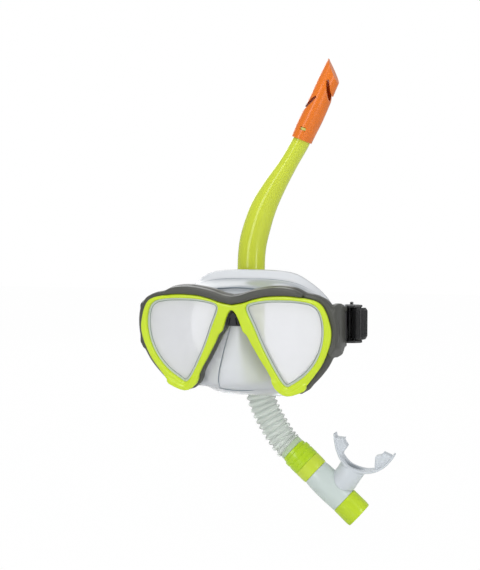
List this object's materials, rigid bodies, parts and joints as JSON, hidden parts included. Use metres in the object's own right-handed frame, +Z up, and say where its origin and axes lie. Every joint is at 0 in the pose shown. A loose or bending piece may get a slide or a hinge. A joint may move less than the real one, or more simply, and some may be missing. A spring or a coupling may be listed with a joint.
{
  "type": "snorkel mask set",
  "caption": "Twin-lens dive mask with clear skirt, swivel strap buckles and a side snorkel with splash cap, ribbed hose and purge mouthpiece.",
  "frame": {"origin": "middle of the face seal's plane at pupil height", "axes": "mask faces -Y, +X towards the wearer's left, +Z up along the snorkel"},
  "size_m": [0.2218, 0.1294, 0.4315],
  "materials": {
    "frame_grey": "satin",
    "black_plastic": "satin black",
    "lime_gloss": "gloss",
    "lens": "clear tempered glass",
    "seal_grey": "matt",
    "clear_silicone": "clear, slightly milky silicone",
    "steel_pin": "satin",
    "pawl_black": "satin",
    "strap_rubber": "matt, ribbed ends",
    "keeper_rubber": "matt",
    "tube_lime": "gloss",
    "cap_orange": "satin gloss",
    "hose_clear": "clear, ribbed",
    "nut_lime": "translucent gloss",
    "ring_lime": "translucent gloss",
    "barrel_milky": "milky translucent",
    "mouth_silicone": "matt milky silicone",
    "seat_white": "satin",
    "valve_silicone": "matt",
    "cap_lime": "translucent gloss"
  },
  "bodies": {
    "mask": {"frame": "frame_grey", "bridge_clip": "black_plastic", "bezel": "lime_gloss", "lens_left": "lens", "lens_right": "lens", "gasket_left": "seal_grey", "gasket_right": "seal_grey", "skirt": "clear_silicone", "buckle_pin_left": "steel_pin", "buckle_pin_right": "steel_pin", "strap": "strap_rubber"},
    "buckle_left": {"buckle_body_left": "black_plastic", "strap_bar_left": "black_plastic", "pawl_pin_left": "steel_pin"},
    "buckle_right": {"buckle_body_right": "black_plastic", "strap_bar_right": "black_plastic", "pawl_pin_right": "steel_pin"},
    "pawl_left": {"lock_pawl_left": "pawl_black"},
    "pawl_right": {"lock_pawl_right": "pawl_black"},
    "keeper": {"keeper_clip": "keeper_rubber"},
    "ring": {"keeper_ring": "keeper_rubber"},
    "snorkel": {"snorkel_tube": "tube_lime", "splash_cap": "cap_orange", "hose": "hose_clear"},
    "coupling": {"swivel_nut": "nut_lime", "nut_ring": "ring_lime"},
    "mouth": {"barrel": "barrel_milky", "mouthpiece": "mouth_silicone", "purge_seat": "seat_white", "purge_cap": "cap_lime"},
    "valve": {"purge_valve": "valve_silicone"}
  },
  "joints": [
    {"name": "buckle_left_swing", "type": "hinge", "parent": "mask", "child": "buckle_left", "pos_m": [0.0866, -0.03, 0.0025], "axis": [0, 0, 1], "range_deg": [-30, 10], "deforming": ["strap"]},
    {"name": "buckle_right_swing", "type": "hinge", "parent": "mask", "child": "buckle_right", "pos_m": [-0.0866, -0.03, 0.0025], "axis": [0, 0, -1], "range_deg": [-30, 10], "deforming": ["strap"]},
    {"name": "pawl_left_release", "type": "hinge", "parent": "buckle_left", "child": "pawl_left", "pos_m": [0.0882, -0.0135, 0.0035], "axis": [0, 0, 1], "range_deg": [0, 10], "stiffness_Nm_per_rad": 0.05},
    {"name": "pawl_right_release", "type": "hinge", "parent": "buckle_right", "child": "pawl_right", "pos_m": [-0.0882, -0.0135, 0.0035], "axis": [0, 0, -1], "range_deg": [0, 10], "stiffness_Nm_per_rad": 0.05},
    {"name": "keeper_slide", "type": "slide", "parent": "mask", "child": "keeper", "axis": [1, 0, 0], "range_m": [-0.012, 0.012]},
    {"name": "snorkel_tilt", "type": "hinge", "parent": "keeper", "child": "ring", "pos_m": [-0.0212, 0.0296, 0.0324], "axis": [0, 1, 0], "range_deg": [-25, 25]},
    {"name": "snorkel_turn", "type": "hinge", "parent": "ring", "child": "snorkel", "pos_m": [-0.0212, 0.045, 0.0324], "axis": [0, 0, 1], "range_deg": [-60, 60]},
    {"name": "hose_flex", "type": "hinge", "parent": "snorkel", "child": "coupling", "pos_m": [0.0015, 0.045, -0.0985], "axis": [0, 1, 0], "range_deg": [-20, 30], "stiffness_Nm_per_rad": 1.2, "deforming": ["hose"]},
    {"name": "mouth_swivel", "type": "hinge", "parent": "coupling", "child": "mouth", "pos_m": [0.0325, 0.045, -0.13315], "axis": [0.7507, 0, -0.6607], "range_deg": [-90, 90]},
    {"name": "purge_lift", "type": "slide", "parent": "mouth", "child": "valve", "axis": [0.7507, 0, -0.6607], "range_m": [0, 0.0012], "stiffness_N_per_m": 20}
  ]
}
